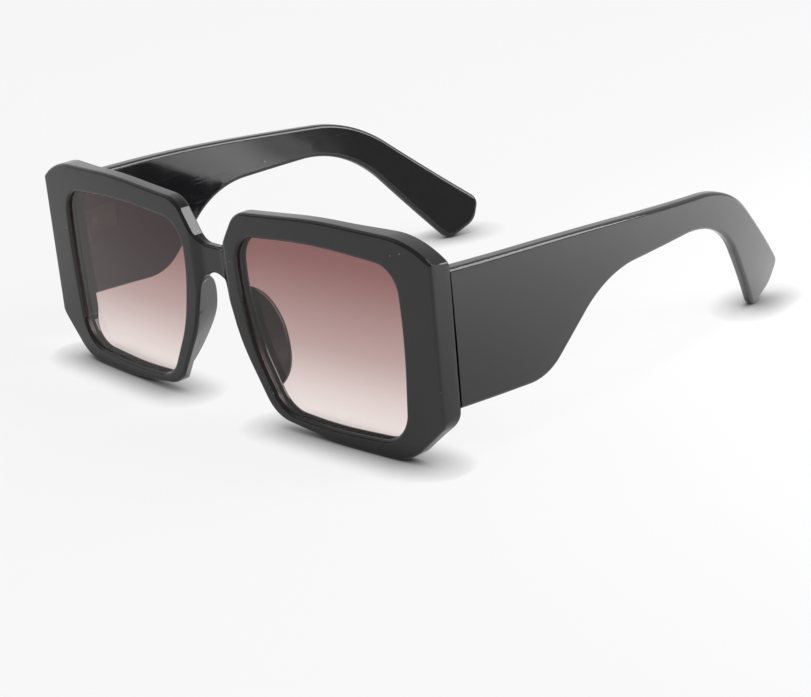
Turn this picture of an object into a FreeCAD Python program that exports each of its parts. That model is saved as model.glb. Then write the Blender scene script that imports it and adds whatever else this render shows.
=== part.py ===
import FreeCAD, Part
import math
import os

# Oversized square sunglasses, standing open on their rims and temple tips.
# Millimetres. +X is the wearer's left, the front faces -Y, the temples run back along +Y, +Z is up.
# Z = 0 is the table under the rims. X = 0 is the plane of symmetry.

Vec = FreeCAD.Vector
X_AXIS = Vec(1, 0, 0)
Y_AXIS = Vec(0, 1, 0)
Z_AXIS = Vec(0, 0, 1)

# Lens openings and the rim round them
lens_width = 51.0
lens_height = 42.6
lens_gap = 19.8
rim_top = 5.75
rim_bottom = 3.25
rim_side = 9.5
lens_nose_lean = 10.7
lens_nose_height = 28.7
lens_knee_height = 15.7
lens_knee_set = 2.7
lens_side_height = 24.8
lens_corner_drop = 1.9
lens_corner_set = 1.8
lens_bottom_rise = 1.0
lens_top_radius = 7.2
lens_bottom_radius = 8.3
nose_bend_radius = 37.5
crown_radius = 150.0

# Front outline
rim_thickness = 3.4
end_thickness = 4.8
end_start = 42.0
end_ramp = 20.0
end_foot = 6.0
end_foot_ramp = 7.0
front_wrap_radius = 610.0
nose_wall = 4.2
nose_foot_wall = 2.9
nose_drop = 0.8
nose_foot_radius = 9.5
bridge_wall = 5.3
bridge_under = 33.6
bridge_height = 6.2
bridge_half_width = 4.2
bridge_corner_drop = 2.0
bridge_corner_radius = 2.5
notch_half_width = 10.8
notch_radius = 5.0
shoulder_radius = 7.0
top_shoulder_drop = 1.9
temple_corner_set = 6.7
temple_corner_drop = 1.0
temple_corner_radius = 22.0
crease_drop = 6.0
crease_radius = 1.4
corner_cut_width = 11.8
corner_cut_height = 10.5
corner_cut_top_radius = 5.0
corner_cut_low_radius = 13.0
side_lean = 0.3
rest_inset = 32.0
rest_radius = 90.0
front_edge_round = 0.8
back_edge_round = 0.4
side_flare = 0.7
nose_land = 0.9
bevel_bend_radius = 30.0
bevel_top_drop = 0.6
bridge_setback = 1.2
bridge_floor_half_width = 3.2
bridge_slope_width = 3.6

# Lenses
lens_recess = 0.9
lens_thickness = 1.8
groove_depth = 0.9
lens_clearance = 0.05

# Nose pads
pad_splay = 24.0
pad_top_drop = 3.3
pad_height = 23.0
pad_depth = 7.4
pad_end_depth = 0.9
pad_thickness = 2.4
pad_end_thickness = 1.8
pad_crown = 1.3
pad_end_crown = 0.5
pad_embed = 0.8
pad_sections = 7

# Temples, measured back from the butt joint and up from the table
temple_thickness = 3.8
temple_reach = 124.6
temple_top = 44.3
temple_low = 13.2
temple_top_bend = 37.0
temple_top_bend_drop = 1.5
temple_splay = 4.3
temple_bow_radius = 269.0
temple_bow_lean = 34.7
temple_bow_height = 30.0
temple_inner_set = 2.5
temple_end_gap = 0.15
temple_edge_round = 1.0
temple_end_radius = 1.3
temple_top_radius = 600.0
belly_drop = 1.4
belly_length = 26.6
belly_radius = 13.0
waist_start = 46.2
waist_low = 30.2
waist_radius = 26.0
waist_end = 89.3
waist_end_rise = 1.0
ear_inner_radius = 28.0
ear_start = 92.8
ear_top = 37.9
ear_outer_radius = 35.0
tip_top = 8.8
tip_heel_set = 2.8
tip_heel = 3.0
tip_heel_radius = 6.0
tip_toe_set = 11.4
tip_toe = -0.69
tip_radius = 3.0

# Flat steel core in each temple
core_depth = 1.1
core_thickness = 1.0
core_width = 1.8
core_plate_gap = 1.15
core_bend = 88.5
core_bend_height = 34.6
core_end = 115.5
core_end_height = 8.0
core_bend_radius = 31.0
core_end_inset = 0.8
core_clearance = 0.03

# Hinges
knuckle_count = 5
knuckle_radius = 1.5
knuckle_height = 1.5
knuckle_gap = 0.08
hinge_clearance = 0.3
hinge_lift = 3.0
pivot_radius = 0.7
pivot_clearance = 0.05
pivot_head_radius = 1.2
pivot_head_height = 0.6
plate_thickness = 1.2
plate_clearance = 0.05
front_plate_width = 4.4
front_plate_overhang = 1.4
web_overhang = 0.6
front_plate_height = 15.0
front_screw_spacing = 11.2
temple_plate_start = -0.2
temple_plate_length = 13.0
temple_plate_height = 6.4
temple_screw_spacing = 4.8
temple_screw_shift = 1.5
fixing_radius = 0.6
fixing_length = 2.2
fixing_head_radius = 1.05
fixing_head_height = 0.55
fixing_clearance = 0.03
screw_slot = 0.3

# Length by which a cutting shape runs past what it cuts
spare = 3.0
# Part of a straight run that the rounded corners at its two ends may take up
corner_share = 0.94
# Points across and heights up at which the front's two faces are set out
bridge_points = 20
rim_points = 24
back_levels = 20

# Places worked out from the sizes above
lens_in = lens_gap / 2
lens_out = lens_in + lens_width
lens_low = rim_bottom
lens_high = rim_bottom + lens_height
lens_mid = (lens_in + lens_out) / 2
half_width = lens_out + rim_side
front_height = lens_high + rim_top
rim_back_radius = front_wrap_radius - rim_thickness
end_back_radius = front_wrap_radius - end_thickness
side_sag = half_width ** 2 / (2 * front_wrap_radius)
bridge_top = bridge_under + bridge_height
slab_depth = side_sag + end_thickness + spare
temple_outer = half_width + side_flare
axis_offset = knuckle_radius + hinge_clearance
axis_x = temple_outer - temple_thickness - axis_offset
hinge_z = (temple_top + temple_low) / 2 + hinge_lift


def back_of_rim(x):
    """Depth of the rims' back face at x."""
    return front_wrap_radius - math.sqrt(rim_back_radius ** 2 - x ** 2)


def back_of_end(x):
    """Depth of the back face of the thicker end pieces at x."""
    return front_wrap_radius - math.sqrt(end_back_radius ** 2 - x ** 2)


front_plate_x = axis_x - front_plate_width + front_plate_overhang
plate_back_y = back_of_end(front_plate_x + front_plate_width / 2)
axis_y = plate_back_y + knuckle_radius + hinge_clearance
core_height = hinge_z + (temple_plate_height + core_width) / 2 + core_plate_gap
knuckle_stack = knuckle_count * (knuckle_height + knuckle_gap) - knuckle_gap
temple_face = axis_offset + temple_thickness
temple_end = back_of_end(temple_outer) + temple_end_gap - axis_y
bow_lean = math.radians(temple_bow_lean)
bow_along = Vec(0, math.sin(bow_lean), math.cos(bow_lean))
bow_across = Vec(0, math.cos(bow_lean), -math.sin(bow_lean))
bow_centre = Vec(temple_face - temple_bow_radius, temple_end, temple_bow_height)
inner_centre = bow_centre + bow_across * temple_inner_set
splay = math.radians(pad_splay)
nose_top = Vec(lens_in - bridge_wall, 0, bridge_under - bridge_corner_drop)
nose_knee = Vec(lens_in + lens_knee_set - nose_wall, 0, lens_low + lens_knee_height - nose_drop)
nose_foot = Vec(lens_in + lens_nose_lean - nose_foot_wall, 0, lens_low - nose_drop)
nose_upper = (nose_knee - nose_top).normalize()
nose_lower = (nose_foot - nose_knee).normalize()
upper_out = Vec(-nose_upper.z, 0, nose_upper.x)
lower_out = Vec(-nose_lower.z, 0, nose_lower.x)
knee_out = (upper_out + lower_out) * (1 / (1 + upper_out.dot(lower_out)))
bevel_end = nose_foot + nose_lower * 2 * spare


def rounded_outline(corners, plane):
    """Closed wire of straight runs and tangent arcs; a corner is (a, z, radius) and plane places (a, z)."""
    points = [Vec(a, z, 0) for a, z, radius in corners]
    count = len(points)
    runs = [points[(i + 1) % count] - points[i] for i in range(count)]
    half_turns = [runs[i - 1].getAngle(runs[i]) / 2 for i in range(count)]
    wanted = [corners[i][2] * math.tan(half_turns[i]) for i in range(count)]
    shares = [corner_share * runs[i].Length / (wanted[i] + wanted[(i + 1) % count]) for i in range(count)]
    ends = []
    edges = []
    for i in range(count):
        corner = points[i]
        tangent = wanted[i] * min(1, shares[i - 1], shares[i])
        first = corner - runs[i - 1] * (tangent / runs[i - 1].Length)
        last = corner + runs[i] * (tangent / runs[i].Length)
        radius = tangent / math.tan(half_turns[i])
        inward = (first + last) * 0.5 - corner
        middle = corner + inward.normalize() * (radius / math.cos(half_turns[i]) - radius)
        ends.append((plane(first), plane(last)))
        edges.append(Part.Arc(plane(first), plane(middle), plane(last)).toShape())
    for i in range(count):
        edges.append(Part.LineSegment(ends[i][1], ends[(i + 1) % count][0]).toShape())
    return Part.Wire(Part.__sortEdges__(edges))


def facing_front(p):
    return Vec(p.x, 0, p.y)


def facing_side(p):
    return Vec(0, p.x, p.y)


def upright_cylinder(radius, x, y, low, high):
    return Part.makeCylinder(radius, high - low, Vec(x, y, low), Z_AXIS)


def box(low, high):
    size = high - low
    return Part.makeBox(size.x, size.y, size.z, low)


def mirrored(shape):
    return shape.mirror(Vec(0, 0, 0), X_AXIS)


def wrap_shell(depth, thickness):
    """Curved sheet that follows the front's wrap, its outer face at the given depth behind the front."""
    outer_radius = front_wrap_radius - depth
    low = -spare
    high = front_height + spare
    reach = temple_outer + spare
    outer = upright_cylinder(outer_radius, 0, front_wrap_radius, low, high)
    inner = upright_cylinder(outer_radius - thickness, 0, front_wrap_radius, low, high)
    near = box(Vec(-reach, -spare, low), Vec(reach, 2 * slab_depth, high))
    return outer.common(near).cut(inner)


def prism(wire):
    """Solid with the given front outline, deep enough to pass through the whole front."""
    return Part.Face(wire).extrude(Vec(0, slab_depth, 0))


# Outlines of the lens opening and of the whole front
lens_corners = [
    (lens_in, lens_high - lens_corner_drop, lens_top_radius),
    (lens_mid, lens_high, crown_radius),
    (lens_out - lens_corner_set / 2, lens_high - lens_corner_drop, lens_top_radius),
    (lens_out, lens_low + lens_side_height, crown_radius),
    (lens_out - lens_corner_set, lens_low + lens_bottom_rise, lens_bottom_radius),
    (lens_mid, lens_low, crown_radius),
    (lens_in + lens_nose_lean, lens_low + lens_bottom_rise, lens_bottom_radius),
    (lens_in + lens_knee_set, lens_low + lens_knee_height, nose_bend_radius),
    (lens_in, lens_low + lens_nose_height, nose_bend_radius),
]
lens_opening = rounded_outline(lens_corners, facing_front)

half_front = [
    (bridge_half_width, bridge_top, notch_radius),
    (notch_half_width, front_height - top_shoulder_drop, shoulder_radius),
    (lens_mid + lens_corner_set, front_height, crown_radius),
    (temple_outer - temple_corner_set, front_height - temple_corner_drop, temple_corner_radius),
    (temple_outer, front_height - crease_drop, crease_radius),
    (temple_outer - side_lean, corner_cut_height, corner_cut_top_radius),
    (temple_outer - corner_cut_width, 0, corner_cut_low_radius),
    (half_width - rest_inset, 0, rest_radius),
    (nose_foot.x, nose_foot.z, nose_foot_radius),
    (nose_knee.x, nose_knee.z, nose_bend_radius),
    (nose_top.x, nose_top.z, bridge_corner_radius),
]
other_half = [(-x, z, radius) for x, z, radius in reversed(half_front)]
front_corners = half_front + [(0, bridge_under, notch_radius)] + other_half
front_outline = rounded_outline(front_corners, facing_front)


def flare_cutter():
    """Wedge outside the side facet, which flares outwards from the front face to the back."""
    slope = side_flare / end_thickness
    behind = end_thickness + spare
    far = temple_outer + 2 * spare
    corners = [
        Vec(half_width - slope * spare, side_sag - spare, 0),
        Vec(half_width + slope * behind, side_sag + behind, 0),
        Vec(far, side_sag + behind, 0),
        Vec(far, side_sag - spare, 0),
    ]
    face = Part.Face(Part.makePolygon(corners + corners[:1]))
    wedge = face.extrude(Vec(0, 0, 2 * front_height))
    wedge.translate(Vec(0, 0, -front_height / 2))
    return wedge


def ease(share):
    """Smooth step from 0 to 1."""
    held = min(max(share, 0), 1)
    return held * held * (3 - 2 * held)


def front_room():
    """Space before the front, which is wrapped and dips in a soft step at the bridge."""
    reach = temple_outer + spare
    bridge_half = bridge_floor_half_width + bridge_slope_width
    places = [bridge_half * i / bridge_points for i in range(bridge_points)]
    places += [bridge_half + (reach - bridge_half) * i / rim_points for i in range(rim_points + 1)]
    points = []
    for x in [-place for place in reversed(places[1:])] + places:
        dip = bridge_setback * (1 - ease((abs(x) - bridge_floor_half_width) / bridge_slope_width))
        points.append(Vec(x, front_wrap_radius - math.sqrt(front_wrap_radius ** 2 - x ** 2) + dip, -spare))
    curve = Part.BSplineCurve()
    curve.interpolate(points)
    before = [points[-1], Vec(reach, -2 * spare, -spare), Vec(-reach, -2 * spare, -spare), points[0]]
    outline = Part.Wire([curve.toShape()] + Part.makePolygon(before).Edges)
    return Part.Face(outline).extrude(Z_AXIS * (front_height + 2 * spare))


def back_room():
    """Space behind the front: close behind the thin rims, further back behind the two end pieces."""
    reach = temple_outer + spare
    rows = []
    for level in range(back_levels + 1):
        z = (front_height + 2 * spare) * level / back_levels - spare
        points = []
        for i in range(-rim_points, rim_points + 1):
            x = reach * i / rim_points
            share = ease((z - end_foot) / end_foot_ramp) * ease((abs(x) - end_start) / end_ramp)
            points.append(Vec(x, back_of_rim(x) + share * (back_of_end(x) - back_of_rim(x)), z))
        rows.append(points)
    surface = Part.BSplineSurface()
    surface.interpolate(rows)
    return surface.toShape().extrude(Y_AXIS * 2 * slab_depth)


def nose_bevel():
    """Space between the rims that widens towards the back, so that the nose sides are splayed."""
    sections = []
    for y in (0, rim_thickness + spare):
        set_back = (y - nose_land) * math.tan(splay)
        half = []
        for place, out, radius in (
                (nose_top + nose_upper * bevel_top_drop, upper_out, bridge_corner_radius),
                (nose_knee, knee_out, bevel_bend_radius - set_back),
                (bevel_end, lower_out, bridge_corner_radius)):
            corner = place + out * set_back
            half.append((corner.x, corner.z, radius))
        outline = rounded_outline(half + [(-x, z, radius) for x, z, radius in reversed(half)], facing_front)
        outline.translate(Vec(0, y, 0))
        sections.append(outline)
    return Part.makeLoft(sections, True, True)


def face_edges(body, side):
    """Edges between the front's upright sides and its front face, side -1, or its back face, side 1."""
    found = []
    for edge in body.Edges:
        faces = body.ancestorsOfType(edge, Part.Face)
        middle = edge.valueAt((edge.FirstParameter + edge.LastParameter) / 2)
        facing = sorted(side * face.normalAt(*face.Surface.parameter(middle)).y for face in faces)
        if len(facing) == 2 and abs(facing[0]) < 0.3 and facing[1] > 0.6:
            found.append(edge)
    return found


def edges_on_cylinder(shape, radius, centre, direction):
    """Edges of shape that lie on a cylinder."""
    found = []
    for edge in shape.Edges:
        middle = edge.valueAt((edge.FirstParameter + edge.LastParameter) / 2)
        points = [vertex.Point for vertex in edge.Vertexes] + [middle]
        gaps = [abs(p.distanceToLine(centre, direction) - radius) for p in points]
        if max(gaps) < 0.001:
            found.append(edge)
    return found


def lens_blank(growth, depth, thickness):
    """Curved sheet with the lens outline grown all round."""
    outline = lens_opening.makeOffset2D(growth)
    return wrap_shell(depth, thickness).common(prism(outline))


def front_plate_box(play, rise):
    """Block of the front hinge plate, wider all round by the play and thicker at the back by the rise."""
    half = front_plate_height / 2 + play
    low = Vec(front_plate_x - play, plate_back_y - plate_thickness, hinge_z - half)
    high = Vec(front_plate_x + front_plate_width + play, plate_back_y + rise, hinge_z + half)
    return box(low, high)


def front_screw_places():
    middle = front_plate_x + front_plate_width / 2
    return [Vec(middle, plate_back_y, hinge_z + side * front_screw_spacing / 2) for side in (-1, 1)]


def temple_screw_places():
    """Screw places on the temple plate, in the temple's own frame."""
    middle = temple_plate_start + temple_plate_length / 2 + temple_screw_shift
    return [Vec(axis_offset, middle + side * temple_screw_spacing / 2, hinge_z) for side in (-1, 1)]


def fixing_screw(place, inward):
    """Small screw, its head flush with the plate's face and a slot across it."""
    head = Part.makeCylinder(fixing_head_radius, fixing_head_height, place, inward)
    shank = Part.makeCylinder(fixing_radius, fixing_length, place + inward * fixing_head_height, inward)
    across = Vec(fixing_head_radius, fixing_head_radius, screw_slot / 2)
    slot = box(place - across, place + across)
    slot.translate(inward * (screw_slot - fixing_head_radius))
    return head.fuse(shank).cut(slot).removeSplitter()


def fixing_hole(place, inward):
    """Clearance for a fixing screw through its plate and into the plastic."""
    deep = fixing_head_height + fixing_length + fixing_clearance
    hole = Part.makeCylinder(fixing_radius + fixing_clearance, deep, place, inward)
    seat = Part.makeCylinder(fixing_head_radius + fixing_clearance, fixing_head_height, place, inward)
    return hole.fuse(seat)


def front_frame():
    """Both rims and the bridge in one wrapped piece, with lens grooves and hinge seats."""
    body = prism(front_outline).cut(front_room()).cut(back_room())
    opening = prism(lens_opening)
    groove = lens_blank(groove_depth, lens_recess - lens_clearance, lens_thickness + 2 * lens_clearance)
    seat = front_plate_box(plate_clearance, spare)
    holes = [fixing_hole(place, -Y_AXIS) for place in front_screw_places()]
    for cutter in (flare_cutter(), opening):
        body = body.cut(cutter).cut(mirrored(cutter))
    body = body.makeFillet(front_edge_round, face_edges(body, -1))
    body = body.makeFillet(back_edge_round, face_edges(body, 1))
    body = body.cut(nose_bevel())
    for cutter in [groove, seat] + holes:
        body = body.cut(cutter).cut(mirrored(cutter))
    return body


def lens():
    return lens_blank(groove_depth - lens_clearance, lens_recess, lens_thickness)


def nose_line(z):
    """Place and outward direction of the rim's nose side at height z, where its bevel begins."""
    centre = nose_knee + knee_out * bevel_bend_radius
    rise = min(max((centre.z - z) / bevel_bend_radius, upper_out.z), lower_out.z)
    out = Vec(math.sqrt(1 - rise ** 2), 0, rise)
    touch = centre - out * bevel_bend_radius
    return touch + Vec(rise, 0, -out.x) * ((touch.z - z) / out.x), out


def nose_pad():
    """Fin that carries the splayed nose side of the rim on to the back, deepest at its middle."""
    sections = []
    for i in range(pad_sections):
        share = i / (pad_sections - 1)
        swell = math.sqrt(math.sin(math.pi * share)) if 0 < share < 1 else 0
        place, across = nose_line(bridge_under - pad_top_drop - pad_height * share)
        depth = Y_AXIS * math.cos(splay) + across * math.sin(splay)
        width = across * math.cos(splay) - Y_AXIS * math.sin(splay)
        thick = width * (pad_end_thickness + (pad_thickness - pad_end_thickness) * swell)
        foot = place + Y_AXIS * nose_land + depth * ((rim_thickness - nose_land) / math.cos(splay))
        root = foot - depth * pad_embed
        crown = foot + thick * 0.5 + depth * (pad_end_depth + (pad_depth - pad_end_depth) * swell)
        shoulder = crown - depth * (pad_end_crown + (pad_crown - pad_end_crown) * swell)
        curve = Part.Arc(shoulder - thick * 0.5, crown, shoulder + thick * 0.5).toShape()
        sides = Part.makePolygon([shoulder + thick * 0.5, root + thick, root, shoulder - thick * 0.5])
        sections.append(Part.Wire([curve] + sides.Edges))
    return Part.makeLoft(sections, True, False).common(back_room())


def knuckle_span(index):
    low = hinge_z - knuckle_stack / 2 + index * (knuckle_height + knuckle_gap)
    return low, low + knuckle_height


def pivot_bore():
    low = hinge_z - knuckle_stack
    high = hinge_z + knuckle_stack
    return upright_cylinder(pivot_radius + pivot_clearance, 0, 0, low, high)


def front_hinge_plate():
    """Plate let into the back of the front, with every second knuckle on the hinge axis."""
    plate = front_plate_box(0, 0)
    bore = pivot_bore()
    bore.translate(Vec(axis_x, axis_y, 0))
    for index in range(0, knuckle_count, 2):
        low, high = knuckle_span(index)
        web = box(Vec(axis_x - knuckle_radius, plate_back_y - plate_thickness / 2, low),
                  Vec(axis_x + web_overhang, axis_y, high))
        plate = plate.fuse(upright_cylinder(knuckle_radius, axis_x, axis_y, low, high)).fuse(web)
    plate = plate.cut(bore)
    for place in front_screw_places():
        plate = plate.cut(fixing_hole(place, -Y_AXIS))
    return plate.removeSplitter()


def temple_plate_box(play):
    """Space of the temple hinge plate in the temple's own frame."""
    half = temple_plate_height / 2 + play
    end = temple_plate_start + temple_plate_length
    low = Vec(axis_offset, temple_plate_start - play, hinge_z - half)
    high = Vec(axis_offset + plate_thickness, end + play, hinge_z + half)
    return box(low, high)


def temple_hinge_plate():
    """Plate let into the temple's inner face, with its knuckles between those of the front."""
    plate = temple_plate_box(0)
    for index in range(1, knuckle_count, 2):
        low, high = knuckle_span(index)
        far = Vec(axis_offset + plate_thickness / 2, knuckle_radius, high)
        arm = box(Vec(0, temple_plate_start, low), far)
        plate = plate.fuse(upright_cylinder(knuckle_radius, 0, 0, low, high)).fuse(arm)
    plate = plate.cut(pivot_bore())
    for place in temple_screw_places():
        plate = plate.cut(fixing_hole(place, X_AXIS))
    return plate.removeSplitter()


def hinge_screw():
    """Pivot screw through all the knuckles, its slotted head on the top one."""
    low = hinge_z - knuckle_stack / 2
    top = hinge_z + knuckle_stack / 2
    shank = upright_cylinder(pivot_radius, axis_x, axis_y, low, top)
    head = upright_cylinder(pivot_head_radius, axis_x, axis_y, top, top + pivot_head_height)
    half = Vec(pivot_head_radius, screw_slot / 2, 0)
    place = Vec(axis_x, axis_y, top + pivot_head_height / 2)
    slot = box(place - half, place + half + Vec(0, 0, pivot_head_height))
    return shank.fuse(head).cut(slot).removeSplitter()


def bow_cylinder(depth, centre):
    """Cylinder along the temple's bow; depth is measured inwards from the outer face."""
    foot = centre - bow_along * temple_bow_radius
    return Part.makeCylinder(temple_bow_radius - depth, 2 * temple_bow_radius, foot, bow_along)


def bow_sheet(depth, thickness):
    """Sheet of even thickness along the temple's bow."""
    return bow_cylinder(depth, bow_centre).cut(bow_cylinder(depth + thickness, bow_centre))


def side_prism(corners):
    """Solid with the given side outline, wide enough to cross the whole bow of the temple."""
    placed = [(temple_end + a, z, radius) for a, z, radius in corners]
    face = Part.Face(rounded_outline(placed, facing_side))
    solid = face.extrude(X_AXIS * temple_reach)
    solid.translate(X_AXIS * (temple_face + spare - temple_reach))
    return solid


def temple_corners():
    return [
        (-spare, temple_top, temple_end_radius),
        (temple_top_bend, temple_top - temple_top_bend_drop, temple_top_radius),
        (ear_start, ear_top, ear_outer_radius),
        (temple_reach, tip_top, tip_radius),
        (temple_reach - tip_heel_set, tip_heel, tip_heel_radius),
        (temple_reach - tip_toe_set, tip_toe, tip_radius),
        (waist_end, waist_low + waist_end_rise, ear_inner_radius),
        (waist_start, waist_low, waist_radius),
        (belly_length, temple_low - belly_drop, belly_radius),
        (-spare, temple_low, temple_end_radius),
    ]


def core_corners(play, longer):
    """Side outline of the flat core, wider by the play all round and longer at its front end."""
    half = core_width / 2 + play
    bend = Vec(core_bend, core_bend_height, 0)
    run = (bend - Vec(core_end_inset, core_height, 0)).normalize()
    drop = (Vec(core_end, core_end_height, 0) - bend).normalize()
    first = Vec(core_end_inset, core_height, 0) - run * longer
    last = Vec(core_end, core_end_height, 0) + drop * play
    up_run = Vec(-run.y, run.x, 0)
    up_drop = Vec(-drop.y, drop.x, 0)
    up_bend = (up_run + up_drop) * (1 / (1 + up_run.dot(up_drop)))
    end_radius = half / 2
    places = [(first, up_run, 1), (bend, up_bend, 1), (last, up_drop, 1)]
    places += [(last, up_drop, -1), (bend, up_bend, -1), (first, up_run, -1)]
    corners = []
    for place, up, side in places:
        point = place + up * (side * half)
        radius = core_bend_radius + side * half if place is bend else end_radius
        corners.append((point.x, point.y, radius))
    return corners


def temple():
    """Wide temple with its ear hook, bowed inwards, in its own frame with the hinge axis at X = Y = 0."""
    outer = bow_cylinder(0, bow_centre)
    inner = bow_cylinder(temple_thickness, inner_centre)
    body = side_prism(temple_corners()).common(outer).cut(inner)
    for depth, centre in ((0, bow_centre), (temple_thickness, inner_centre)):
        edges = edges_on_cylinder(body, temple_bow_radius - depth, centre, bow_along)
        body = body.makeFillet(temple_edge_round, edges)
    slot_sheet = bow_sheet(core_depth - core_clearance, core_thickness + 2 * core_clearance)
    slot = side_prism(core_corners(core_clearance, 2 * spare)).common(slot_sheet)
    body = body.cut(slot).cut(temple_plate_seat())
    for place in temple_screw_places():
        body = body.cut(fixing_hole(place, X_AXIS))
    return body


def temple_plate_seat():
    """Pocket for the temple plate, open towards the inside of the temple."""
    seat = temple_plate_box(plate_clearance)
    mouth = seat.copy()
    mouth.translate(Vec(-plate_thickness, 0, 0))
    return seat.fuse(mouth)


def temple_core():
    return side_prism(core_corners(0, 0)).common(bow_sheet(core_depth, core_thickness))


def hung(shape):
    """Take a piece from the temple's own frame to its place on the hinge, opened by the splay."""
    placed = shape.copy()
    placed.rotate(Vec(0, 0, 0), Z_AXIS, -temple_splay)
    placed.translate(Vec(axis_x, axis_y, 0))
    return placed


def mitred(shape):
    """Trim the temple's end so that it butts against the back of the front across an even gap."""
    radius = end_back_radius - temple_end_gap
    room = upright_cylinder(radius, 0, front_wrap_radius, -front_height, 2 * front_height)
    return shape.common(room)


def all_pieces():
    front = front_frame()
    plate_screws = [fixing_screw(place, -Y_AXIS) for place in front_screw_places()]
    temple_screws = [hung(fixing_screw(place, X_AXIS)) for place in temple_screw_places()]
    one_side = {
        "lens": lens(),
        "nose_pad": nose_pad(),
        "front_hinge_plate": front_hinge_plate(),
        "hinge_screw": hinge_screw(),
        "temple": mitred(hung(temple())),
        "temple_core": hung(temple_core()),
        "temple_hinge_plate": hung(temple_hinge_plate()),
        "temple_plate_screws": Part.makeCompound(temple_screws),
    }
    pieces = {"front_frame": front}
    for name, shape in one_side.items():
        pieces["left_" + name] = shape
        pieces["right_" + name] = mirrored(shape)
    pieces["front_plate_screws"] = Part.makeCompound(plate_screws + [mirrored(s) for s in plate_screws])
    return pieces


def main():
    pieces = all_pieces()
    foremost = pieces["front_frame"].optimalBoundingBox(False).YMin
    hindmost = pieces["left_temple"].optimalBoundingBox(False).YMax
    to_middle = Vec(0, -(foremost + hindmost) / 2, 0)
    os.makedirs("parts", exist_ok=True)
    for name, shape in pieces.items():
        shape.translate(to_middle)
        shape.exportStep(os.path.join("parts", name + ".step"))
        solids = len(shape.Solids)
        print(f"{name}: {solids} solid(s), valid {shape.isValid()}, {shape.Volume:.1f} mm3")
    print(f"hinge axis x {axis_x:.3f}, y {axis_y + to_middle.y:.3f}, z {hinge_z:.3f}")
    print(f"front face y {to_middle.y:.3f}")


main()
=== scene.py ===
"""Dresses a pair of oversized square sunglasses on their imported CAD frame.

The black plastic pieces, the lenses and the hinges are polished copies of the
frame's own solids; the materials are procedural, and the stage is a pale table
under soft light. All lengths are in metres.
"""
import math

import bpy
from mathutils import Matrix, Vector


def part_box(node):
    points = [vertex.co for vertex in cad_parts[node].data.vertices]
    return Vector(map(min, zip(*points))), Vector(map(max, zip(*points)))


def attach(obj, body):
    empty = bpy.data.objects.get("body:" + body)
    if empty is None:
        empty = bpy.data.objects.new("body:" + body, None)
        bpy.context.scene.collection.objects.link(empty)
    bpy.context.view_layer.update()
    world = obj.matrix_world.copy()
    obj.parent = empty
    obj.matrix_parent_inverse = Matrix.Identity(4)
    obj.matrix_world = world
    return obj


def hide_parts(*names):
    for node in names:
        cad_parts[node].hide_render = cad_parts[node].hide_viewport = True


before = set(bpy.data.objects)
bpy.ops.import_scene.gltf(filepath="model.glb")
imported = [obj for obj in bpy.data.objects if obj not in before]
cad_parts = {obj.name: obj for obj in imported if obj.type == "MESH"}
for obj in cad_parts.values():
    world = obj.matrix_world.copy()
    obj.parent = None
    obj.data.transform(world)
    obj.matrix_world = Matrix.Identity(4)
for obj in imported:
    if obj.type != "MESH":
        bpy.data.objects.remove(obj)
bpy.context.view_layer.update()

bl_info = {
    "name": "Square Sunglasses Dresser",
    "version": (1, 0, 0),
    "blender": (4, 5, 0),
    "location": "View3D > Sidebar > Sunglasses",
    "description": "Polishes and dresses a pair of oversized square sunglasses",
    "category": "Object",
}

SIDES = ("left", "right")
LENS_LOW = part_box("left_lens")[0][2]
LENS_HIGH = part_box("left_lens")[1][2]

# Meshes
WELD_DISTANCE = 0.000001
SHADING_WEIGHT = 80
LENS_SMOOTH_ANGLE = math.radians(30.0)
STEEL_SMOOTH_ANGLE = math.radians(35.0)
FLAT_ANGLE = math.radians(0.4)
BREAK_ANGLE = math.radians(40.0)
BREAK_STEPS = 2

# Black plastic: scales and stretches are repeats per metre, turns are radians,
# and a fade holds the noise levels at which a mark sets in and is full.
CLOUD_SCALE = 48.0
CLOUD_DETAIL = 4.0
CLOUD_BREAKUP = 0.6
CLOUD_FADE = (0.38, 0.72)
CLOUD_TONE = 1.35
GRAIN_SCALE = 900.0
GRAIN_RELIEF = 0.4
LINE_STRETCH = (70.0, 70.0, 1500.0)
LINE_TURN = (0.2, 0.25, 0.0)
LINE_FADE = (0.62, 0.75)
LINE_ROUGHNESS = 0.05
CROSS_STRETCH = (60.0, 60.0, 1300.0)
CROSS_TURN = (-0.5, -0.6, 0.0)
CROSS_FADE = (0.66, 0.78)
CROSS_ROUGHNESS = 0.04
DUST_FREE_SHARE = 0.58
SPECK_SIZE = 0.13
SPECK_ROUGHNESS = 0.45
POLISH_RELIEF = 0.08
RELIEF_DEPTH = 0.00002
PLASTIC_INDEX = 1.53

# Lenses: each stop of the tint is a height up the lens and the depth of the tint there.
TINT_STOPS = (
    (0.0, 0.0), (0.10, 0.045), (0.22, 0.17), (0.44, 0.51),
    (0.60, 0.66), (0.88, 0.955), (1.0, 1.0),
)
LENS_GLOSS_ROUGHNESS = 0.015
PLAIN_SLANT = 0.5
SLANT_POWER = 5.0
GROUND_EDGE_FADE = (0.25, 0.5)
GROUND_EDGE_ROUGHNESS = 0.35

# Steel: the brush is how fine the drawn lines are along each axis, per metre.
LEAF_BRUSH = (500.0, 500.0, 9000.0)
LEAF_ROUGHNESS = 0.22
SCREW_BRUSH = (6000.0, 6000.0, 900.0)
SCREW_ROUGHNESS = 0.16
STEEL_DETAIL = 3.0
STEEL_BREAKUP = 0.6
STAIN_SCALE = 420.0
STAIN_FADE = (0.4, 0.75)
STAIN_TONE = 0.72
STAIN_ROUGHNESS = 0.08
BRUSH_ROUGHNESS = 0.16
BRUSH_RELIEF = 0.25

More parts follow.
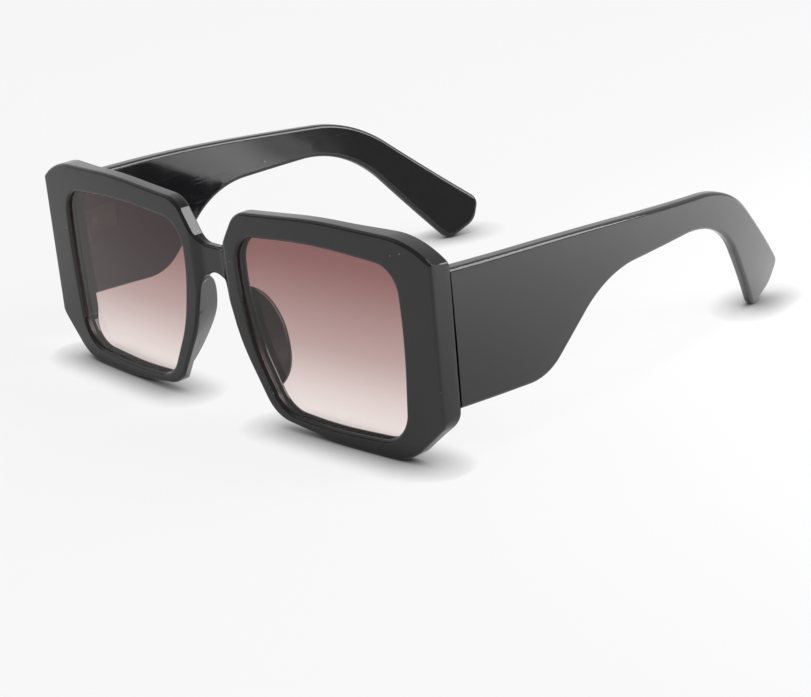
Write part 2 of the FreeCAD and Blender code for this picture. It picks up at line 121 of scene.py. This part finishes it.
# Stage: each lamp has its name, place, target, width, spread and power setting.
TABLE_WIDTH = 12.0
TABLE_DROP = 0.0001
MOTTLE_SCALE = 6.0
MOTTLE_TONE = 0.99
LAMPS = (
    ("key_lamp", (0.55, 0.42, 0.45), (0.1, 0.08, 0.0), 0.55, math.radians(180.0), "key_power"),
    ("floor_lamp", (0.2, 0.16, 0.35), (0.2, 0.16, 0.0), 0.2, math.radians(60.0), "floor_power"),
    ("fill_lamp", (-0.7, -0.6, 0.8), (0.0, 0.0, 0.0), 0.8, math.radians(180.0), "fill_power"),
)
BRIGHT_SIDE = (-0.6, 0.8, -0.35)
BRIGHT_SIDE_FADE = (-0.2, 0.5)
SENSOR_WIDTH = 36.0
NEAREST_VIEW = 0.01


class PlasticSettings(bpy.types.PropertyGroup):
    """Polished black plastic of the front, the pads and the temples"""

    colour: bpy.props.FloatVectorProperty(
        name="Colour", description="Body colour of the black plastic",
        subtype="COLOR", size=3, min=0.0, max=1.0, default=(0.006, 0.006, 0.0068))
    gloss_roughness: bpy.props.FloatProperty(
        name="Gloss roughness", description="Roughness of the cleanest polish",
        subtype="FACTOR", min=0.0, max=1.0, default=0.04)
    handling_haze: bpy.props.FloatProperty(
        name="Handling haze", description="Roughness that handling adds in cloudy patches",
        subtype="FACTOR", min=0.0, max=1.0, default=0.05)
    dust_spacing: bpy.props.FloatProperty(
        name="Dust spacing", description="Distance between possible dust specks",
        unit="LENGTH", subtype="DISTANCE", min=0.0005, default=0.0026)
    dust_colour: bpy.props.FloatVectorProperty(
        name="Dust colour", description="Colour of a dust speck on the polish",
        subtype="COLOR", size=3, min=0.0, max=1.0, default=(0.48, 0.48, 0.47))
    smooth_angle: bpy.props.FloatProperty(
        name="Smooth angle", description="Edges flatter than this are polished away",
        subtype="ANGLE", unit="ROTATION", default=math.radians(32.0))


class LensSettings(bpy.types.PropertyGroup):
    """Gradient tint of the two lenses"""

    top_tint: bpy.props.FloatVectorProperty(
        name="Top tint", description="Light that one face of the lens lets through at the brow",
        subtype="COLOR", size=3, min=0.0, max=1.0, default=(0.50, 0.325, 0.316))
    foot_tint: bpy.props.FloatVectorProperty(
        name="Foot tint", description="Light that one face of the lens lets through at the cheek",
        subtype="COLOR", size=3, min=0.0, max=1.0, default=(0.975, 0.925, 0.908))
    edge_colour: bpy.props.FloatVectorProperty(
        name="Edge colour", description="Colour of the ground edge that sits in the rim's groove",
        subtype="COLOR", size=3, min=0.0, max=1.0, default=(0.022, 0.012, 0.011))
    index: bpy.props.FloatProperty(
        name="Refractive index", description="Strength of the lens's reflections",
        min=1.0, max=2.5, default=1.5)


class SteelSettings(bpy.types.PropertyGroup):
    """Hinge leaves, screws and stiffening cores"""

    colour: bpy.props.FloatVectorProperty(
        name="Colour", description="Colour of the blackened steel",
        subtype="COLOR", size=3, min=0.0, max=1.0, default=(0.085, 0.085, 0.09))
    edge_break: bpy.props.FloatProperty(
        name="Edge break", description="Width of the small bevel on the steel's edges",
        unit="LENGTH", subtype="DISTANCE", min=0.0, precision=5, default=0.00007)


class StageSettings(bpy.types.PropertyGroup):
    """Table, light and camera"""

    table_colour: bpy.props.FloatVectorProperty(
        name="Table colour", description="Colour of the pale table",
        subtype="COLOR", size=3, min=0.0, max=1.0, default=(0.93, 0.93, 0.93))
    table_glow: bpy.props.FloatProperty(
        name="Table glow",
        description="Share of the table's white to the eye that doesn't depend on the lamps",
        subtype="FACTOR", min=0.0, max=1.0, default=0.9)
    glow_colour: bpy.props.FloatVectorProperty(
        name="Glow colour", description="Colour of the table's own white",
        subtype="COLOR", size=3, min=0.0, max=1.0, default=(0.96, 0.96, 0.96))
    mirrored_glow: bpy.props.FloatProperty(
        name="Mirrored glow",
        description="Share of the table's white in the gloss that doesn't depend on the lamps",
        subtype="FACTOR", min=0.0, max=1.0, default=0.4)
    # Painted shadow: these three settings paint the table's glow darker under and near the pieces that
    # stand on it.
    painted_shadow_reach: bpy.props.FloatProperty(
        name="Contact reach", description="Distance within which a piece darkens the table under it",
        unit="LENGTH", subtype="DISTANCE", min=0.0, default=0.010)
    painted_shadow_depth: bpy.props.FloatProperty(
        name="Contact depth", description="How steeply the table darkens towards a piece on it",
        min=0.0, default=2.2)
    # Painted shadow colour: right under a piece, the table's glow is painted towards this colour.
    painted_shadow_colour: bpy.props.FloatVectorProperty(
        name="Contact colour", description="Colour of the table right under a piece that stands on it",
        subtype="COLOR", size=3, min=0.0, max=1.0, default=(0.0, 0.0, 0.0))
    sky_strength: bpy.props.FloatProperty(
        name="Sky strength", description="Even light from all round",
        min=0.0, default=0.45)
    room_level: bpy.props.FloatProperty(
        name="Room level", description="Brightness of the room's near side as the gloss shows it",
        subtype="FACTOR", min=0.0, max=1.0, default=0.35)
    key_power: bpy.props.FloatProperty(
        name="Key power", description="Power of the large lamp behind the left temple",
        unit="POWER", min=0.0, default=6.0)
    floor_power: bpy.props.FloatProperty(
        name="Floor power", description="Power of the narrow lamp over the table beside the left temple",
        unit="POWER", min=0.0, default=0.7)
    fill_power: bpy.props.FloatProperty(
        name="Fill power", description="Power of the large lamp in front on the right",
        unit="POWER", min=0.0, default=0.6)
    camera_place: bpy.props.FloatVectorProperty(
        name="Camera place", description="Where the camera stands",
        subtype="TRANSLATION", unit="LENGTH", size=3, default=(0.39102, -0.3499, 0.181209))
    camera_azimuth: bpy.props.FloatProperty(
        name="Azimuth", description="Turn of the camera about the object from straight ahead",
        subtype="ANGLE", unit="ROTATION", default=math.radians(49.171))
    camera_elevation: bpy.props.FloatProperty(
        name="Elevation", description="Tilt of the camera above the table",
        subtype="ANGLE", unit="ROTATION", default=math.radians(19.409))
    camera_roll: bpy.props.FloatProperty(
        name="Roll", description="Turn of the camera about its own line of sight",
        subtype="ANGLE", unit="ROTATION", default=math.radians(-5.568))
    camera_lens: bpy.props.FloatProperty(
        name="Focal length", description="Focal length on a 36 mm wide sensor",
        subtype="DISTANCE_CAMERA", unit="CAMERA", default=98.02)
    camera_shift: bpy.props.FloatVectorProperty(
        name="Shift", description="Shift of the picture on the sensor",
        size=2, precision=4, default=(0.0052, -0.0041))


class Reading:
    """A shader socket that takes part in plain arithmetic; each step adds a node."""

    def __init__(self, sheet, socket):
        self.sheet = sheet
        self.socket = socket

    def step(self, operation, first, second=0.0):
        return self.sheet.add("ShaderNodeMath", {"operation": operation}, {0: first, 1: second})

    def __add__(self, other):
        return self.step("ADD", self, other)

    def __radd__(self, other):
        return self.step("ADD", other, self)

    def __sub__(self, other):
        return self.step("SUBTRACT", self, other)

    def __rsub__(self, other):
        return self.step("SUBTRACT", other, self)

    def __mul__(self, other):
        return self.step("MULTIPLY", self, other)

    def __rmul__(self, other):
        return self.step("MULTIPLY", other, self)

    def __truediv__(self, other):
        return self.step("DIVIDE", self, other)

    def __lt__(self, other):
        return self.step("LESS_THAN", self, other)

    def __abs__(self):
        return self.step("ABSOLUTE", self)

    def power(self, exponent):
        return self.step("POWER", self, exponent)

    def within(self, low, high):
        """Goes from 0 at low to 1 at high, smoothly."""
        return self.sheet.add("ShaderNodeMapRange", {"interpolation_type": "SMOOTHSTEP"},
                              {"Value": self, "From Min": low, "From Max": high})


class Sheet:
    """The node sheet of one material or world."""

    def __init__(self, owner):
        owner.use_nodes = True
        self.tree = owner.node_tree
        self.tree.nodes.clear()

    def add(self, kind, settings=None, sockets=None, out=0):
        """Adds one node, sets it up, then fills its sockets with values or links."""
        node = self.tree.nodes.new(kind)
        for name, value in (settings or {}).items():
            if name == "stops":
                self.set_stops(node.color_ramp, value)
            else:
                setattr(node, name, value)
        for name, value in (sockets or {}).items():
            if isinstance(value, Reading):
                self.tree.links.new(value.socket, node.inputs[name])
            else:
                node.inputs[name].default_value = value
        if len(node.outputs):
            return Reading(self, node.outputs[out])
        return None

    @staticmethod
    def set_stops(ramp, stops):
        """Fills a ramp with grey stops."""
        while len(ramp.elements) < len(stops):
            ramp.elements.new(1.0)
        for element, (position, level) in zip(ramp.elements, stops):
            element.position = position
            element.color = (level, level, level, 1.0)

    def place(self):
        return self.add("ShaderNodeTexCoord", out="Object")

    def noise(self, vector, scale, detail=2.0, roughness=0.5):
        return self.add("ShaderNodeTexNoise", None, {
            "Vector": vector, "Scale": scale, "Detail": detail, "Roughness": roughness}, "Fac")

    def stretched(self, vector, scale, turn=(0.0, 0.0, 0.0)):
        return self.add("ShaderNodeMapping", None,
                        {"Vector": vector, "Scale": scale, "Rotation": turn})

    def scratches(self, vector, stretch, turn, fade):
        """Long thin marks: 1 on a mark, 0 between the marks."""
        return self.noise(self.stretched(vector, stretch, turn), 1.0, 1.0).within(*fade)

    def blend(self, factor, first, second):
        """Mixes two colours."""
        return self.add("ShaderNodeMix", {"data_type": "RGBA"}, {0: factor, 6: first, 7: second}, 2)

    def ray_is(self, kind):
        """1 for rays of one kind, such as those to the camera, 0 for all others."""
        return self.add("ShaderNodeLightPath", out=f"Is {kind} Ray")


def rgba(colour, tone=1.0):
    """A colour as a socket takes it, made lighter or darker by a factor."""
    return (*(tone * part for part in colour), 1.0)


def black_plastic(settings):
    """Polished black plastic: cloudy gloss, fine polishing lines and a little dust."""
    material = bpy.data.materials.new("black_plastic")
    sheet = Sheet(material)
    place = sheet.place()
    cloud = sheet.noise(place, CLOUD_SCALE, CLOUD_DETAIL, CLOUD_BREAKUP).within(*CLOUD_FADE)
    grain = sheet.noise(place, GRAIN_SCALE)
    lines = sheet.scratches(place, LINE_STRETCH, LINE_TURN, LINE_FADE)
    cross = sheet.scratches(place, CROSS_STRETCH, CROSS_TURN, CROSS_FADE)
    cells = {"Vector": place, "Scale": 1.0 / settings.dust_spacing}
    near = sheet.add("ShaderNodeTexVoronoi", None, cells, "Distance")
    draw = sheet.add("ShaderNodeTexVoronoi", None, cells, "Color")
    chance = sheet.add("ShaderNodeSeparateColor", None, {0: draw})
    speck = near < (chance - DUST_FREE_SHARE) * SPECK_SIZE
    tone = sheet.blend(cloud, rgba(settings.colour), rgba(settings.colour, CLOUD_TONE))
    colour = sheet.blend(speck, tone, rgba(settings.dust_colour))
    rough = (settings.gloss_roughness + settings.handling_haze * cloud + LINE_ROUGHNESS * lines
             + CROSS_ROUGHNESS * cross + SPECK_ROUGHNESS * speck)
    relief = sheet.add("ShaderNodeBump", None, {
        "Strength": POLISH_RELIEF, "Distance": RELIEF_DEPTH,
        "Height": lines + cross + grain * GRAIN_RELIEF + speck}, "Normal")
    skin = sheet.add("ShaderNodeBsdfPrincipled", None, {
        "Base Color": colour, "Roughness": rough, "IOR": PLASTIC_INDEX, "Normal": relief})
    sheet.add("ShaderNodeOutputMaterial", None, {"Surface": skin})
    return material


def gradient_lens(settings):
    """Tint that is rose-brown at the brow and nearly clear at the cheek, under a clear gloss."""
    material = bpy.data.materials.new("gradient_lens")
    sheet = Sheet(material)
    height = sheet.add("ShaderNodeSeparateXYZ", None, {0: sheet.place()}, "Z")
    rise = (height - LENS_LOW) / (LENS_HIGH - LENS_LOW)
    depth = sheet.add("ShaderNodeValToRGB", {"stops": TINT_STOPS}, {"Fac": rise})
    foot = sheet.add("ShaderNodeBsdfTransparent", None, {"Color": rgba(settings.foot_tint)})
    brow = sheet.add("ShaderNodeBsdfTransparent", None, {"Color": rgba(settings.top_tint)})
    tint = sheet.add("ShaderNodeMixShader", None, {0: depth, 1: foot, 2: brow})
    gloss = sheet.add("ShaderNodeBsdfGlossy", None, {
        "Color": (1.0, 1.0, 1.0, 1.0), "Roughness": LENS_GLOSS_ROUGHNESS})
    slant = sheet.add("ShaderNodeLayerWeight", None, {"Blend": PLAIN_SLANT}, "Facing")
    head_on = ((settings.index - 1.0) / (settings.index + 1.0)) ** 2
    share = head_on + (1.0 - head_on) * slant.power(SLANT_POWER)
    clear = sheet.add("ShaderNodeMixShader", None, {0: share, 1: tint, 2: gloss})
    turn = sheet.add("ShaderNodeTexCoord", out="Normal")
    facing = sheet.add("ShaderNodeSeparateXYZ", None, {0: turn}, "Y")
    ground = 1.0 - abs(facing).within(*GROUND_EDGE_FADE)
    edge = sheet.add("ShaderNodeBsdfPrincipled", None, {
        "Base Color": rgba(settings.edge_colour), "Roughness": GROUND_EDGE_ROUGHNESS})
    skin = sheet.add("ShaderNodeMixShader", None, {0: ground, 1: clear, 2: edge})
    sheet.add("ShaderNodeOutputMaterial", None, {"Surface": skin})
    return material


def bare_steel(name, settings, brush, rough):
    """Steel with drawn lines along one direction and faint stains."""
    material = bpy.data.materials.new(name)
    sheet = Sheet(material)
    place = sheet.place()
    lines = sheet.noise(sheet.stretched(place, brush), 1.0, STEEL_DETAIL, STEEL_BREAKUP)
    stain = sheet.noise(place, STAIN_SCALE, STEEL_DETAIL, STEEL_BREAKUP).within(*STAIN_FADE)
    colour = sheet.blend(stain, rgba(settings.colour), rgba(settings.colour, STAIN_TONE))
    relief = sheet.add("ShaderNodeBump", None, {
        "Strength": BRUSH_RELIEF, "Distance": RELIEF_DEPTH, "Height": lines}, "Normal")
    skin = sheet.add("ShaderNodeBsdfPrincipled", None, {
        "Base Color": colour, "Metallic": 1.0, "Normal": relief,
        "Roughness": rough + BRUSH_ROUGHNESS * lines + STAIN_ROUGHNESS * stain})
    sheet.add("ShaderNodeOutputMaterial", None, {"Surface": skin})
    return material


def shared_material(name, maker, *values):
    """Gives the material of that name, made at its first use."""
    return bpy.data.materials.get(name) or maker(*values)


def select_only(piece):
    bpy.ops.object.select_all(action="DESELECT")
    piece.select_set(True)
    bpy.context.view_layer.objects.active = piece


def edit_whole_mesh(step, **values):
    """Runs one edit-mode step on all of the active piece's mesh."""
    bpy.ops.object.mode_set(mode="EDIT")
    bpy.ops.mesh.select_all(action="SELECT")
    step(**values)
    bpy.ops.object.mode_set(mode="OBJECT")


def merged_copy(node_name, piece_name):
    """Copies a CAD node's mesh into a new piece and welds its loose triangles."""
    piece = bpy.data.objects.new(piece_name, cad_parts[node_name].data.copy())
    piece.data.name = piece_name
    bpy.context.scene.collection.objects.link(piece)
    select_only(piece)
    if piece.data.has_custom_normals:
        bpy.ops.mesh.customdata_custom_splitnormals_clear()
    edit_whole_mesh(bpy.ops.mesh.remove_doubles, threshold=WELD_DISTANCE)
    return piece


def polish(piece, angle):
    """Smooths the shading across every edge flatter than the angle."""
    select_only(piece)
    bpy.ops.object.shade_smooth_by_angle(angle=angle, keep_sharp_edges=False)
    weighted = piece.modifiers.new("even_shading", "WEIGHTED_NORMAL")
    weighted.keep_sharp = True
    weighted.weight = SHADING_WEIGHT
    bpy.ops.object.modifier_apply(modifier=weighted.name)


def hang(piece, node_name, body, material):
    """Puts the piece in the node's stead on its body, in one material."""
    piece.data.materials.clear()
    piece.data.materials.append(material)
    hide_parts(node_name)
    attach(piece, body)


def polished_plastic(node_name, piece_name, body):
    """A black plastic piece with its faces polished smooth."""
    settings = bpy.context.scene.sunglasses_plastic
    piece = merged_copy(node_name, piece_name)
    polish(piece, settings.smooth_angle)
    plastic = shared_material("black_plastic", black_plastic, settings)
    hang(piece, node_name, body, plastic)


def dressed_steel(node_name, piece_name, body, material):
    """A steel piece with its flats cleaned up and its sharp edges broken."""
    settings = bpy.context.scene.sunglasses_steel
    piece = merged_copy(node_name, piece_name)
    edit_whole_mesh(bpy.ops.mesh.dissolve_limited, angle_limit=FLAT_ANGLE)
    edge = piece.modifiers.new("edge_break", "BEVEL")
    edge.width = settings.edge_break
    edge.segments = BREAK_STEPS
    edge.limit_method = "ANGLE"
    edge.angle_limit = BREAK_ANGLE
    edge.use_clamp_overlap = True
    bpy.ops.object.modifier_apply(modifier=edge.name)
    polish(piece, STEEL_SMOOTH_ANGLE)
    hang(piece, node_name, body, material)


class SUNGLASSES_OT_front(bpy.types.Operator):
    """Polish the front that holds both lenses"""

    bl_idname = "sunglasses.front"
    bl_label = "Front"

    def execute(self, context):
        polished_plastic("front_frame", "rims_and_bridge", "front")
        return {"FINISHED"}


class SUNGLASSES_OT_nose_pads(bpy.types.Operator):
    """Polish the two nose pads bonded behind the rims"""

    bl_idname = "sunglasses.nose_pads"
    bl_label = "Nose pads"

    def execute(self, context):
        for side in SIDES:
            polished_plastic(f"{side}_nose_pad", f"{side}_pad", "front")
        return {"FINISHED"}


class SUNGLASSES_OT_temples(bpy.types.Operator):
    """Polish the two wide temples"""

    bl_idname = "sunglasses.temples"
    bl_label = "Temples"

    def execute(self, context):
        for side in SIDES:
            polished_plastic(f"{side}_temple", f"{side}_arm", f"{side}_temple")
        return {"FINISHED"}


class SUNGLASSES_OT_lenses(bpy.types.Operator):
    """Tint the two lenses"""

    bl_idname = "sunglasses.lenses"
    bl_label = "Lenses"

    def execute(self, context):
        settings = context.scene.sunglasses_lens
        tint = shared_material("gradient_lens", gradient_lens, settings)
        for side in SIDES:
            piece = merged_copy(f"{side}_lens", f"{side}_gradient_lens")
            polish(piece, LENS_SMOOTH_ANGLE)
            hang(piece, f"{side}_lens", "front", tint)
        return {"FINISHED"}


class SUNGLASSES_OT_hinges(bpy.types.Operator):
    """Break the edges of the hinge leaves and screws, and brush their steel"""

    bl_idname = "sunglasses.hinges"
    bl_label = "Hinges"

    def execute(self, context):
        settings = context.scene.sunglasses_steel
        leaf = shared_material(
            "leaf_steel", bare_steel, "leaf_steel", settings, LEAF_BRUSH, LEAF_ROUGHNESS)
        screw = shared_material(
            "screw_steel", bare_steel, "screw_steel", settings, SCREW_BRUSH, SCREW_ROUGHNESS)
        for side in SIDES:
            temple = f"{side}_temple"
            dressed_steel(
                f"{side}_front_hinge_plate", f"{side}_front_leaf", "front", leaf)
            dressed_steel(
                f"{side}_temple_hinge_plate", f"{side}_temple_leaf", temple, leaf)
            dressed_steel(
                f"{side}_hinge_screw", f"{side}_pivot_screw", "front", screw)
            dressed_steel(
                f"{side}_temple_plate_screws", f"{side}_temple_leaf_screws", temple,
                screw)
            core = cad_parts[f"{side}_temple_core"]
            core.data.materials.clear()
            core.data.materials.append(leaf)
        dressed_steel("front_plate_screws", "front_leaf_screws", "front", screw)
        return {"FINISHED"}


def table_top(settings):
    """Pale table that stays white to the eye; near the pieces its glow is painted darker as a painted
    contact shadow, and its small lit share keeps a faint real shadow.
    """
    material = bpy.data.materials.new("pale_table")
    sheet = Sheet(material)
    mottle = sheet.noise(sheet.place(), MOTTLE_SCALE)
    tone = sheet.blend(
        mottle, rgba(settings.table_colour), rgba(settings.table_colour, MOTTLE_TONE))
    matt = sheet.add("ShaderNodeBsdfDiffuse", None, {"Color": tone})
    # Painted shadow: ambient occlusion darkens the glow colour near the pieces. This paints a contact
    # shadow under them, which also shows in the gloss.
    ao_for_painted_shadow = sheet.add(
        "ShaderNodeAmbientOcclusion", None, {"Distance": settings.painted_shadow_reach}, "AO")
    white = sheet.blend(ao_for_painted_shadow.power(settings.painted_shadow_depth),
                        rgba(settings.painted_shadow_colour), rgba(settings.glow_colour))
    glow = sheet.add("ShaderNodeEmission", None, {"Color": white, "Strength": 1.0})
    share = (sheet.ray_is("Camera") * settings.table_glow
             + sheet.ray_is("Glossy") * settings.mirrored_glow)
    skin = sheet.add("ShaderNodeMixShader", None, {0: share, 1: matt, 2: glow})
    sheet.add("ShaderNodeOutputMaterial", None, {"Surface": skin})
    return material


def lay_table(settings):
    """Lays the table just under the rims."""
    bpy.ops.object.select_all(action="DESELECT")
    bpy.ops.mesh.primitive_plane_add(size=TABLE_WIDTH, location=(0.0, 0.0, -TABLE_DROP))
    table = bpy.context.object
    table.name = "table"
    bpy.ops.object.transform_apply(location=True, rotation=False, scale=False)
    table.data.materials.append(table_top(settings))


def add_softbox(name, place, target, width, spread, power):
    """Adds a square lamp that faces the target."""
    bpy.ops.object.light_add(type="AREA", location=place)
    lamp = bpy.context.object
    lamp.name = name
    lamp.data.shape = "SQUARE"
    lamp.data.size = width
    lamp.data.spread = spread
    lamp.data.energy = power
    lamp.rotation_euler = (Vector(target) - Vector(place)).to_track_quat("-Z", "Y").to_euler()


def add_world(settings):
    """Adds an even sky, white to the eye, whose bright side shows in the gloss."""
    world = bpy.data.worlds.new("studio")
    bpy.context.scene.world = world
    sheet = Sheet(world)
    way = sheet.add("ShaderNodeTexCoord", out="Generated")
    behind = sheet.add(
        "ShaderNodeVectorMath", {"operation": "DOT_PRODUCT"}, {0: way, 1: BRIGHT_SIDE}, "Value")
    room = settings.room_level + (1.0 - settings.room_level) * behind.within(*BRIGHT_SIDE_FADE)
    strength = (settings.sky_strength
                + (1.0 - settings.sky_strength) * sheet.ray_is("Camera")
                + (room - settings.sky_strength) * sheet.ray_is("Glossy"))
    sky = sheet.add("ShaderNodeBackground", None, {
        "Color": rgba(settings.table_colour), "Strength": strength})
    sheet.add("ShaderNodeOutputWorld", None, {"Surface": sky})


def add_camera(settings):
    """Sets the camera up by its turn, tilt and roll about its place."""
    bpy.ops.object.camera_add()
    camera = bpy.context.object
    turn = settings.camera_azimuth
    tilt = settings.camera_elevation
    roll = settings.camera_roll
    back = Vector((math.sin(turn) * math.cos(tilt), -math.cos(turn) * math.cos(tilt),
                   math.sin(tilt)))
    right = (-back).cross(Vector((0.0, 0.0, 1.0))).normalized()
    above = right.cross(-back)
    across = right * math.cos(roll) + above * math.sin(roll)
    upright = above * math.cos(roll) - right * math.sin(roll)
    stand = Matrix((across, upright, back)).transposed().to_4x4()
    stand.translation = Vector(settings.camera_place)
    camera.matrix_world = stand
    camera.data.sensor_fit = "HORIZONTAL"
    camera.data.sensor_width = SENSOR_WIDTH
    camera.data.lens = settings.camera_lens
    camera.data.shift_x, camera.data.shift_y = settings.camera_shift
    camera.data.clip_start = NEAREST_VIEW
    bpy.context.scene.camera = camera


class SUNGLASSES_OT_stage(bpy.types.Operator):
    """Lay the pale table, hang the soft lamps and set up the camera"""

    bl_idname = "sunglasses.stage"
    bl_label = "Stage"

    def execute(self, context):
        settings = context.scene.sunglasses_stage
        lay_table(settings)
        for name, place, target, width, spread, power in LAMPS:
            add_softbox(name, place, target, width, spread, getattr(settings, power))
        add_world(settings)
        add_camera(settings)
        context.scene.view_settings.view_transform = "Standard"
        return {"FINISHED"}


class SUNGLASSES_PT_sidebar(bpy.types.Panel):
    """Lists the steps and settings in the 3D view's sidebar"""

    bl_idname = "SUNGLASSES_PT_sidebar"
    bl_label = "Sunglasses"
    bl_space_type = "VIEW_3D"
    bl_region_type = "UI"
    bl_category = "Sunglasses"

    def draw(self, context):
        scene = context.scene
        for title, group, steps in (
                ("Black plastic", scene.sunglasses_plastic,
                 (SUNGLASSES_OT_front, SUNGLASSES_OT_nose_pads, SUNGLASSES_OT_temples)),
                ("Lenses", scene.sunglasses_lens, (SUNGLASSES_OT_lenses,)),
                ("Steel", scene.sunglasses_steel, (SUNGLASSES_OT_hinges,)),
                ("Stage", scene.sunglasses_stage, (SUNGLASSES_OT_stage,))):
            box = self.layout.box()
            box.label(text=title)
            for name in group.__annotations__:
                box.prop(group, name)
            for step in steps:
                box.operator(step.bl_idname)


CLASSES = (
    PlasticSettings, LensSettings, SteelSettings, StageSettings,
    SUNGLASSES_OT_front, SUNGLASSES_OT_nose_pads, SUNGLASSES_OT_temples,
    SUNGLASSES_OT_lenses, SUNGLASSES_OT_hinges, SUNGLASSES_OT_stage,
    SUNGLASSES_PT_sidebar,
)


def register():
    for each in CLASSES:
        bpy.utils.register_class(each)
    bpy.types.Scene.sunglasses_plastic = bpy.props.PointerProperty(type=PlasticSettings)
    bpy.types.Scene.sunglasses_lens = bpy.props.PointerProperty(type=LensSettings)
    bpy.types.Scene.sunglasses_steel = bpy.props.PointerProperty(type=SteelSettings)
    bpy.types.Scene.sunglasses_stage = bpy.props.PointerProperty(type=StageSettings)


def unregister():
    del bpy.types.Scene.sunglasses_stage
    del bpy.types.Scene.sunglasses_steel
    del bpy.types.Scene.sunglasses_lens
    del bpy.types.Scene.sunglasses_plastic
    for each in reversed(CLASSES):
        bpy.utils.unregister_class(each)


def main():
    register()
    bpy.ops.sunglasses.front()
    bpy.ops.sunglasses.nose_pads()
    bpy.ops.sunglasses.temples()
    bpy.ops.sunglasses.lenses()
    bpy.ops.sunglasses.hinges()
    bpy.ops.sunglasses.stage()


if __name__ == "__main__":
    main()
